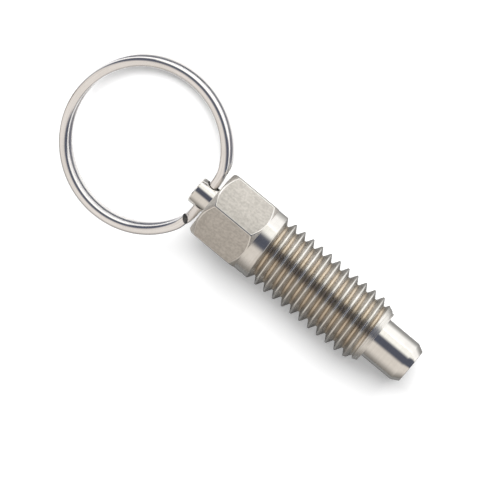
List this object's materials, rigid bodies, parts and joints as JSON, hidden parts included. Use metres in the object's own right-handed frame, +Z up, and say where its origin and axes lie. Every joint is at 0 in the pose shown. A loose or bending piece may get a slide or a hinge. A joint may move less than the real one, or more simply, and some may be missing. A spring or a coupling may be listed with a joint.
{
  "type": "index plunger",
  "caption": "Spring-loaded index plunger with a threaded hexagon body, a round locking pin and a split pull ring.",
  "frame": {"origin": "middle of the hexagon flat that the part lies on", "axes": "+X along the pin towards its tip, with the pull ring at -X; +Z up, out of the opposite flat"},
  "size_m": [0.0479, 0.0194, 0.008],
  "materials": {
    "turned_steel": "turned stainless steel with matte flats",
    "polished_steel": "ground and polished stainless steel",
    "ring_steel": "bright drawn stainless steel wire",
    "spring_steel": "drawn stainless spring wire"
  },
  "bodies": {
    "barrel": {"threaded_body": "turned_steel"},
    "spring": {"compression_spring": "spring_steel"},
    "pin": {"locking_pin": "polished_steel"},
    "ring": {"split_ring": "ring_steel"}
  },
  "joints": [
    {"name": "pin_spin", "type": "hinge", "parent": "barrel", "child": "spring", "pos_m": [0, 0, 0.004], "axis": [1, 0, 0], "continuous": true},
    {"name": "pin_slide", "type": "slide", "parent": "spring", "child": "pin", "axis": [-1, 0, 0], "range_m": [0, 0.005], "stiffness_N_per_m": 1600, "springref_m": -0.0002, "deforming": ["compression_spring"]},
    {"name": "ring_swing", "type": "hinge", "parent": "pin", "child": "ring", "pos_m": [-0.00411, 0, 0.004], "axis": [0, 0.9703, -0.2419], "range_deg": [-85, 94.4]}
  ]
}
